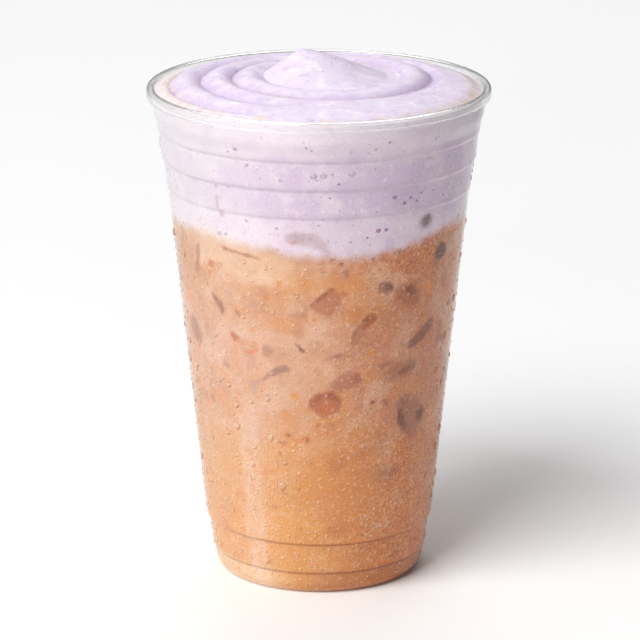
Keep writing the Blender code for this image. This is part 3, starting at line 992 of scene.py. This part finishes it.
def top_frames(x, y):
    """Places and directions on the foam's top face."""
    z = foam_top(x, y)[0]
    slope_x = (foam_top(x + SLOPE_REACH, y)[0] - z) / SLOPE_REACH
    slope_y = (foam_top(x, y + SLOPE_REACH)[0] - z) / SLOPE_REACH
    across = np.column_stack([np.ones_like(x), np.zeros_like(x), slope_x])
    along = np.column_stack([np.zeros_like(x), np.ones_like(x), slope_y])
    across /= np.linalg.norm(across, axis=1)[:, None]
    out = np.cross(across, along)
    out /= np.linalg.norm(out, axis=1)[:, None]
    return np.column_stack([x, y, z]), across, np.cross(out, across), out


def make_top_flecks(finish):
    draw = random.Random(FLECK_SEED + 1)
    spots = [(TOP_FLECK_REACH * math.sqrt(draw.random()), draw.uniform(0.0, math.tau))
             for _ in range(TOP_FLECKS)]
    radius, angle = np.array(spots).T
    size = np.array([draw.uniform(*TOP_FLECK_SIZES) ** TOP_FLECK_BIAS for _ in spots]) * MM
    stretch = np.array([draw.uniform(*TOP_FLECK_STRETCH) for _ in spots])
    place_domes("flecks_top", finish, "foam_specks", dome_template(FLECK_SIDES, FLECK_LEVELS),
                top_frames(radius * np.cos(angle), radius * np.sin(angle)), size / 2.0,
                size * stretch / 2.0, np.full(len(size), TOP_FLECK_HEIGHT), TOP_FLECK_SINK)


# --- Materials ---------------------------------------------------------------------------

class Nodes:
    """A material and short ways to add and link its nodes. Sizes are in metres; a colour is
    a socket, three screen values of 0 to 255 or four linear ones."""

    def __init__(self, name):
        self.material = bpy.data.materials.new(name)
        self.material.use_nodes = True
        self.tree = self.material.node_tree
        self.shader = self.tree.nodes["Principled BSDF"]
        self.place = self.add("ShaderNodeTexCoord").outputs["Object"]
        self.x, self.y, self.z = self.add("ShaderNodeSeparateXYZ", {0: self.place}).outputs

    def add(self, kind, inputs=None, **settings):
        node = self.tree.nodes.new(kind)
        for key, value in settings.items():
            setattr(node, key, value)
        for key, value in (inputs or {}).items():
            self.set(node, key, value)
        return node

    def set(self, node, key, value):
        if isinstance(value, bpy.types.NodeSocket):
            self.tree.links.new(value, node.inputs[key])
        else:
            node.inputs[key].default_value = value

    def finish(self, **inputs):
        for key, value in inputs.items():
            self.set(self.shader, key.replace("_", " "), value)
        return self.material

    def math(self, operation, first, second=0.0, third=0.0):
        return self.add("ShaderNodeMath", {0: first, 1: second, 2: third},
                        operation=operation).outputs[0]

    def times(self, first, second):
        return self.math("MULTIPLY", first, second)

    def less(self, first, second):
        return self.math("SUBTRACT", first, second)

    def stray(self, value, pattern, amount):
        """Value moved up and down by a pattern of 0 to 1."""
        return self.math("MULTIPLY_ADD", self.less(pattern, 0.5), amount, value)

    def vector(self, operation, *parts):
        node = self.add("ShaderNodeVectorMath", dict(enumerate(parts)), operation=operation)
        return node.outputs["Value" if operation == "DOT_PRODUCT" else "Vector"]

    def level_direction(self, x, y):
        across = self.add("ShaderNodeCombineXYZ", {0: x, 1: y}).outputs[0]
        return self.vector("NORMALIZE", across)

    def span(self, value, low, high, to_low=0.0, to_high=1.0, kind="SMOOTHSTEP"):
        """Value's place between two limits, clamped."""
        return self.add("ShaderNodeMapRange",
                        {"Value": value, 1: low, 2: high, 3: to_low, 4: to_high},
                        interpolation_type=kind).outputs["Result"]

    def attribute(self, name, output="Fac"):
        return self.add("ShaderNodeAttribute", attribute_name=name).outputs[output]

    def blend(self, share, first, second, mode="MIX"):
        colours = [rgb(*colour) if isinstance(colour, tuple) and len(colour) == 3 else colour
                   for colour in (first, second)]
        return self.add("ShaderNodeMix", {0: share, 6: colours[0], 7: colours[1]},
                        data_type="RGBA", blend_type=mode).outputs[2]

    def layers(self, base, *covers):
        """Covers, each a share and a colour, laid over a base one after another."""
        for share, colour in covers:
            base = self.blend(share, base, colour)
        return base

    def ramp(self, value, low, high, stops):
        """Colour ramp between two limits of a value, from (place, colour) stops."""
        node = self.add("ShaderNodeValToRGB", {"Fac": self.span(value, low, high, kind="LINEAR")})
        node.color_ramp.interpolation = "EASE"
        points = node.color_ramp.elements
        while len(points) < len(stops):
            points.new(0.5)
        for point, (place, colour) in zip(points, stops):
            point.position = place
            point.color = rgb(*colour)
        return node.outputs["Color"]

    def noise(self, size, detail=3.0, roughness=0.55, place=None):
        return self.add("ShaderNodeTexNoise",
                        {"Vector": place or self.place, "Scale": 1.0 / size, "Detail": detail,
                         "Roughness": roughness}).outputs["Fac"]

    def shifted(self, seed, place=None):
        return self.vector("ADD", place or self.place, (seed, 1.7 * seed, 0.6 * seed))

    def swirled(self, size, amount, place=None):
        """Places pushed about by noise, so that patterns on them run in wisps."""
        place = place or self.place
        push = self.add("ShaderNodeTexNoise", {"Vector": place, "Scale": 1.0 / size,
                                               "Detail": 2.0}).outputs["Color"]
        return self.vector("MULTIPLY_ADD", push, (amount,) * 3, place)

    def dots(self, size, amount, radius, seed=0.0, place=None):
        """Round dots in a share of the cells of a given size; radius is a share of the cell."""
        cells = self.add("ShaderNodeTexVoronoi", {"Vector": self.shifted(seed, place),
                                                  "Scale": 1.0 / size}).outputs
        pick = self.add("ShaderNodeSeparateColor", {0: cells["Color"]}).outputs[0]
        return self.times(self.math("LESS_THAN", pick, amount),
                          self.span(cells["Distance"], radius, 0.45 * radius))

    def dot_layers(self, base, table, place=None):
        for *cells, strength, colour in table:
            base = self.blend(self.times(self.dots(*cells, place), strength), base, colour)
        return base

    def bump(self, height, strength, distance):
        return self.add("ShaderNodeBump", {"Height": height, "Strength": strength,
                                           "Distance": distance}).outputs["Normal"]

    def pass_soft_rays(self, tint):
        """Let light through without bending it on its way to what lies behind."""
        path = self.add("ShaderNodeLightPath").outputs
        clear = self.add("ShaderNodeBsdfTransparent", {"Color": tint}).outputs[0]
        soft = self.math("MAXIMUM", path["Is Shadow Ray"], path["Is Diffuse Ray"])
        mix = self.add("ShaderNodeMixShader", {0: soft, 1: self.shader.outputs[0], 2: clear})
        self.set(self.tree.nodes["Material Output"], "Surface", mix.outputs[0])
        return self.material


def turn_round(n):
    """Angle round the cup from its front, in radians."""
    return n.math("ARCTAN2", n.x, n.times(n.y, -1.0))


def right_side(n, start, end):
    """Share of 1 on the cup's right, which fades from end to start degrees and at the back."""
    turn = turn_round(n)
    front = n.span(turn, math.radians(start), math.radians(end))
    return n.times(front, n.span(turn, math.radians(176), math.radians(120)))


def painted_mist(n, amount, colour, shade, shine):
    """Fine mist on a colour: pale points as painted highlights, each with painted shade at its lower edge.
    """
    below = n.vector("ADD", n.place, (-0.16 * MM, 0, 0.16 * MM))
    for size, seed in MIST_CELLS:
        dark = n.dots(size, MIST_SHARE, MIST_SHADE_RADIUS, seed, below)
        light = n.dots(size, MIST_SHARE, MIST_SHINE_RADIUS, seed)
        colour = n.layers(colour, (n.times(dark, amount), shade), (n.times(light, amount), shine))
    return colour


def drink_colour(n, cloud, wisps):
    """Milky chai: soft clouds higher up, deeper and grainy on the right, where painted shade darkens it,
    with golden spice.
    """
    # painted shade: deep marks the right side, where the drink is made darker and deeper orange
    deep = right_side(n, -14, 50)
    high = n.span(n.z, 34 * MM, 60 * MM, 0.35, 1)
    milk = n.noise(10 * MM, place=n.swirled(9 * MM, 6 * MM))
    gold = n.noise(9 * MM, place=n.shifted(0.21))
    drift = n.noise(8 * MM, place=n.swirled(7 * MM, 5 * MM, n.shifted(0.47)))
    grain = n.noise(0.65 * MM, 2, 0.75)
    coarse = n.math("MULTIPLY_ADD", deep, 0.75, 0.12)
    foot = n.span(n.z, 8.6 * MM, 5.6 * MM)
    drink = n.layers(
        n.ramp(n.stray(n.z, cloud, 20 * MM), *DRINK_SPAN, DRINK_STOPS),
        (n.times(deep, 0.64), (210, 98, 42)),
        (n.times(n.span(milk, 0.46, 0.66, 0, 0.5), high), (232, 192, 166)),
        (n.span(gold, 0.5, 0.68, 0, 0.5), (216, 136, 66)),
        (n.times(n.span(drift, 0.5, 0.7, 0, 0.42), high), (176, 112, 84)),
        (n.span(wisps, 0.52, 0.75, 0, 0.3), (238, 194, 160)),
        (n.times(n.span(grain, 0.53, 0.72), coarse), (244, 186, 118)),
        (n.times(n.span(grain, 0.47, 0.3), coarse), (136, 72, 42)),
        # painted highlight: paler cream on the left of the foot; painted shade: darker on its right
        (n.times(foot, n.span(n.x, -4 * MM, -20 * MM, 0, 0.5)), (250, 222, 184)),
        (n.times(foot, n.span(n.x, -10 * MM, 4 * MM, 0, 0.4)), (176, 106, 60)))
    drink = n.dot_layers(drink, SPICE, n.swirled(0.8 * MM, 1.4 * MM))
    low = n.span(n.z, 96 * MM, 40 * MM, 0.44, 0.74)
    drink = painted_mist(n, low, drink, (168, 94, 52), (250, 206, 148))
    # painted shade: a dark line along each step at the foot, stronger on the right
    for height, _ in STEPS[:FOOT_STEPS]:
        gap = n.math("ABSOLUTE", n.less(n.z, height - 0.2 * MM))
        line = n.times(n.span(gap, 0.6 * MM, 0.2 * MM), n.math("MULTIPLY_ADD", deep, 0.4, 0.5))
        drink = n.blend(line, drink, (152, 76, 44))
    return drink


def foam_colour(n, cloud, wisps):
    """Foam: cream above, lilac in the middle, white below, with a band of painted shade above each ledge.
    """
    folds = n.noise(8 * MM, place=n.swirled(5 * MM, 4 * MM))
    foam = n.layers(
        n.ramp(n.stray(n.z, cloud, 14 * MM), *FOAM_SPAN, FOAM_STOPS),
        (n.span(folds, 0.48, 0.68, 0, 0.6), (236, 222, 228)),
        (n.span(folds, 0.46, 0.3, 0, 0.5), (204, 178, 206)),
        (n.span(wisps, 0.5, 0.75, 0, 0.3), (242, 230, 238)))
    # painted shade: a darker lilac band just above each ledge
    for height, _ in STEPS[FOOT_STEPS:]:
        over = n.less(n.z, height)
        ledge_shade = n.times(n.span(over, -0.5 * MM, 0.2 * MM), n.span(over, 2.4 * MM, 0.2 * MM))
        foam = n.blend(n.times(ledge_shade, 0.35), foam, (188, 166, 184))
    grain = n.noise(0.5 * MM, 2, 0.7)
    foam = n.layers(
        foam,
        (n.span(n.x, -6 * MM, -40 * MM, 0, 0.5), (232, 228, 228)),
        (n.span(grain, 0.56, 0.8, 0, 0.35), (248, 240, 246)),
        (n.span(grain, 0.44, 0.25, 0, 0.35), (184, 160, 184)))
    side = n.math("MULTIPLY_ADD", right_side(n, -20, 45), 0.45, 0.05)
    return painted_mist(n, side, n.dot_layers(foam, PORES), (182, 160, 182), (250, 244, 250))


def contents_colour(n):
    """Foam above and drink below, which run into each other, with the marks at the wall."""
    wisps = n.noise(2.6 * MM, 4, 0.65)
    fine = n.noise(0.7 * MM, 3, 0.7)
    cloud = n.noise(9 * MM)
    edge = n.span(n.stray(n.attribute("rise"), wisps, 1.6), -2.4, 1.7)
    base = n.blend(edge, drink_colour(n, cloud, wisps), foam_colour(n, cloud, wisps))
    # painted shade: the colours are darkened towards the left
    left = n.span(n.x, -10 * MM, -40 * MM)
    base = n.blend(left, base, (0.87, 0.87, 0.87, 1), "MULTIPLY")
    worn = n.span(n.noise(1.5 * MM, 4, 0.7), 0.32, 0.6, 0.8, 1)
    base = n.blend(n.times(n.attribute("marks", "Alpha"), worn), base, (0, 0, 0, 1))
    return n.blend(worn, base, n.attribute("marks", "Color"), "ADD"), wisps, fine


def fog_and_sheen_share(n):
    """Share of the wall's light that fog and painted sheen scatter, in streaks down the cup, and the rim's
    place.
    """
    turn = n.stray(turn_round(n), n.noise(14 * MM), math.radians(FOG_WANDER))
    total = 0.0
    for middle, inner, outer, top, amount in FOG_AND_SHEEN_STREAKS:
        away = n.math("ABSOLUTE", n.less(turn, math.radians(middle)))
        streak = n.span(away, math.radians(outer), math.radians(inner), 0, amount)
        below = n.span(n.z, (top + 14) * MM, (top - 4) * MM)
        total = n.math("MULTIPLY_ADD", streak, below, total)
    patchy = n.span(n.noise(2.2 * MM, 4, 0.65), 0.25, 0.75, 0.55, 1.3)
    rim = n.span(n.z, *RIM_FOG_HEIGHTS)
    least = n.math("MULTIPLY_ADD", rim, RIM_FOG, FOG_LEAST)
    return n.math("MULTIPLY_ADD", total, patchy, least), rim


def clear_plastic():
    n = Nodes("clear_plastic")
    fog, rim = fog_and_sheen_share(n)
    # painted shade: the plastic's tint darkens where the wall is seen edge-on
    grazing = n.add("ShaderNodeLayerWeight", {"Blend": 0.5}).outputs["Facing"]
    tint = n.blend(n.span(grazing, 0.8, 0.97), (0.975, 0.98, 0.98, 1), (0.62, 0.64, 0.65, 1))
    # Transmission falls where fog and the painted sheen streaks scatter, which whitens the wall there
    n.finish(Base_Color=tint, Roughness=n.math("MULTIPLY_ADD", rim, 0.08, 0.04), IOR=1.4,
             Transmission_Weight=n.less(1.0, fog),
             Normal=n.bump(n.noise(3 * MM, 2), 0.05, 0.2 * MM))
    return n.pass_soft_rays((0.98, 0.98, 0.98, 1))


def water_finish(name, cloudiness, shine, bend, light, edge, outline):
    """Water on the wall, with painted shade: each drop is darker, in the drink's brown, at its lower right
    edge, as if lit from the upper left, and has a dark ring round its edge.
    """
    n = Nodes(name)
    normal = n.add("ShaderNodeNewGeometry").outputs["Normal"]
    sideways = n.level_direction(n.times(n.y, -1.0), n.x)
    lower_right = n.vector("MULTIPLY_ADD", sideways, (0.5, 0.5, 0.5), (0, 0, -0.85))
    lower = n.span(n.vector("DOT_PRODUCT", normal, lower_right), *edge)
    facing = n.vector("DOT_PRODUCT", normal, n.level_direction(n.x, n.y))
    # painted shade: the lower right edge and, where outline is set, a dark ring round each drop
    share = n.math("MAXIMUM", lower, n.span(facing, 0.95, 0.76, 0, outline))
    by_drink = n.span(n.z, 112 * MM, 100 * MM)
    pale = n.blend(by_drink, (1, 0.99, 1, 1), light)
    dark = n.blend(by_drink, (0.72, 0.66, 0.74, 1), (0.5, 0.27, 0.13, 1))
    n.finish(Base_Color=n.blend(share, pale, dark), Roughness=0.05, IOR=bend,
             Transmission_Weight=1.0 - cloudiness,
             Coat_Weight=shine, Coat_Roughness=0.1, Coat_IOR=1.5,
             Normal=n.bump(n.noise(1.2 * MM, 1), 0.08, 0.1 * MM))
    return n.pass_soft_rays((0.99, 0.99, 0.99, 1))


def fleck_finish():
    n = Nodes("foam_specks")
    tint = n.layers((164, 118, 170), (n.span(n.noise(5 * MM, 2), 0.35, 0.65), (178, 126, 158)),
                    (n.span(n.x, 8 * MM, -12 * MM, 0, 0.5), (206, 184, 214)))
    return n.finish(Base_Color=tint, Roughness=0.6,
                    Normal=n.bump(n.noise(0.3 * MM, 2), 0.2, 0.05 * MM))


def bubble_finish():
    n = Nodes("foam_bubbles")
    tone = n.span(n.noise(1.1 * MM), 0.35, 0.65)
    return n.finish(Base_Color=n.blend(tone, (188, 166, 186), (210, 192, 208)), Roughness=0.35)


def swirl_colour(n, wisps, fine):
    """Top of the foam: pale crests and purple hollows, a painted shade deepening into the creases, and
    peach froth along the wall.
    """
    crease = n.attribute("crease")
    patch = n.noise(4.5 * MM, 4, 0.6, n.swirled(6 * MM, 4 * MM))
    # painted shade: the ramp from crest to hollow darkens the creases
    depth = n.stray(n.times(crease, 0.6), patch, 1.5)
    # painted shade: a tan tint in the deepest creases
    hollow_shade = n.times(n.span(crease, 0.55, 0.95),
                  n.span(n.noise(8 * MM, 2, place=n.shifted(0.33)), 0.5, 0.62))
    blotches = n.dots(2.8 * MM, 0.34, 0.26, 0.71, n.swirled(1.6 * MM, 1.6 * MM))
    edge = n.attribute("edge")
    across = n.times(n.x, 1.0 / FROTH_REACH)
    width = n.math("MULTIPLY_ADD", across, n.math("MULTIPLY_ADD", across, 2.6, -0.8), 1.3)
    inside = n.stray(n.stray(n.less(edge, width), wisps, 10), patch, 8)
    spice = n.dots(1.7 * MM, 0.35, 0.2, 0.27, n.swirled(1.2 * MM, 1 * MM))
    froth = n.layers((222, 202, 192), (n.span(wisps, 0.42, 0.6), (236, 226, 226)),
                     (n.times(spice, 0.6), (232, 166, 118)))
    return n.layers(
        n.ramp(depth, -0.4, 0.9, TOP_STOPS),
        (n.times(hollow_shade, 0.6), (200, 176, 172)),
        (n.span(fine, 0.55, 0.8, 0, 0.3), (244, 236, 244)),
        (n.times(blotches, 0.55), (200, 174, 216)),
        (n.span(inside, 2.6, -1.6, 0, 0.9), froth),
        (n.span(edge, 1.5, 0.2, 0, 0.8), (228, 220, 226)),
        (n.dots(1.9 * MM, 0.12, 0.14, 0.53), (170, 120, 176)))


def foam_finish():
    n = Nodes("cold_foam")
    side, wisps, fine = contents_colour(n)
    colour = n.blend(n.attribute("top"), side, swirl_colour(n, wisps, fine))
    pores = n.less(n.times(fine, 0.6), n.dots(1.6 * MM, 0.4, 0.25, 0.9))
    return n.finish(Base_Color=colour, Roughness=0.55, Specular_IOR_Level=0.25,
                    Subsurface_Weight=0.25, Subsurface_Radius=(1, 0.75, 0.9),
                    Subsurface_Scale=2 * MM, Normal=n.bump(pores, 0.25, 0.12 * MM))


def latte_finish():
    n = Nodes("milky_tea")
    colour, _, fine = contents_colour(n)
    return n.finish(Base_Color=colour, Roughness=0.5, Specular_IOR_Level=0.1,
                    Subsurface_Weight=0.2, Subsurface_Radius=(1, 0.6, 0.35),
                    Subsurface_Scale=2 * MM, Normal=n.bump(fine, 0.1, 0.1 * MM))


# --- Stage -------------------------------------------------------------------------------

def make_floor():
    n = Nodes("floor_paper")
    grain = n.add("ShaderNodeTexNoise", {"Scale": 60.0, "Detail": 4.0}).outputs["Fac"]
    tone = n.blend(grain, (0.93, 0.93, 0.93, 1), (0.96, 0.96, 0.96, 1))
    data = bpy.data.meshes.new("floor")
    corners = [(x * FLOOR_HALF, y * FLOOR_HALF, 0.0)
               for x, y in ((-1, -1), (1, -1), (1, 1), (-1, 1))]
    data.from_pydata(corners, [], [(0, 1, 2, 3)])
    data.materials.append(n.finish(Base_Color=tone, Roughness=0.9))
    floor = add_object("floor", data)


def area_light(name, place, target, size, power):
    data = bpy.data.lights.new(name, "AREA")
    data.shape = "RECTANGLE"
    data.size, data.size_y = size
    data.energy = power
    lamp = add_object(name, data)
    lamp.location = place
    aim = Vector(target) - Vector(place)
    lamp.rotation_euler = aim.to_track_quat("-Z", "Y").to_euler()


def around(turn, rise, distance):
    """Place in the studio: degrees round from the front, degrees up and distance."""
    turn, rise = math.radians(turn), math.radians(rise)
    return (distance * math.cos(rise) * math.sin(turn),
            -distance * math.cos(rise) * math.cos(turn), distance * math.sin(rise))


def make_light():
    for name, turn, rise, distance, size, power in LIGHTS:
        area_light(name, around(turn, rise, distance), LIGHT_TARGET, size, power)
    area_light("backdrop", BACKDROP_PLACE, BACKDROP_TARGET, BACKDROP_SIZE, BACKDROP_POWER)


def make_sky():
    """White sky, brighter on the left than on the right."""
    world = bpy.data.worlds.new("studio")
    world.use_nodes = True
    tree = world.node_tree
    background = tree.nodes["Background"]
    background.inputs["Color"].default_value = (1, 1, 1, 1)
    coordinates = tree.nodes.new("ShaderNodeTexCoord")
    split = tree.nodes.new("ShaderNodeSeparateXYZ")
    level = tree.nodes.new("ShaderNodeMapRange")
    for name, value in SKY.items():
        level.inputs[name].default_value = value
    tree.links.new(coordinates.outputs["Generated"], split.inputs[0])
    tree.links.new(split.outputs["X"], level.inputs["Value"])
    tree.links.new(level.outputs["Result"], background.inputs["Strength"])
    bpy.context.scene.world = world
    bpy.context.scene.view_settings.view_transform = "Standard"


def make_camera():
    data = bpy.data.cameras.new("view")
    data.lens = CAMERA_LENS
    data.sensor_width = CAMERA_SENSOR
    camera = add_object("view", data)
    camera.location = (CAMERA_SIDE, -CAMERA_DISTANCE, CAMERA_HEIGHT)
    camera.rotation_euler = (math.radians(90.0 - CAMERA_PITCH), 0.0, 0.0)
    bpy.context.scene.camera = camera


make_camera()
make_light()
make_sky()
make_floor()
make_cup(clear_plastic())
make_foam(foam_finish())
make_latte(latte_finish())
water_on_wall("fine_beads", scattered_beads(), water_finish("mist_water", **MIST_WATER),
              BEAD_SIDES, BEAD_LEVELS, BEAD_RISE)
water_on_wall("water_drops", larger_drops(), water_finish("water", **DROP_WATER),
              DROP_SIDES, DROP_LEVELS, DROP_RISE)
side_marks(BUBBLES, "foam_bubbles", bubble_finish(), "lilac_foam", BUBBLE_THICKNESS)
specks = fleck_finish()
side_marks([*FLECKS, *random_side_flecks()], "flecks_side", specks, "foam_specks",
           FLECK_THICKNESS)
make_top_flecks(specks)
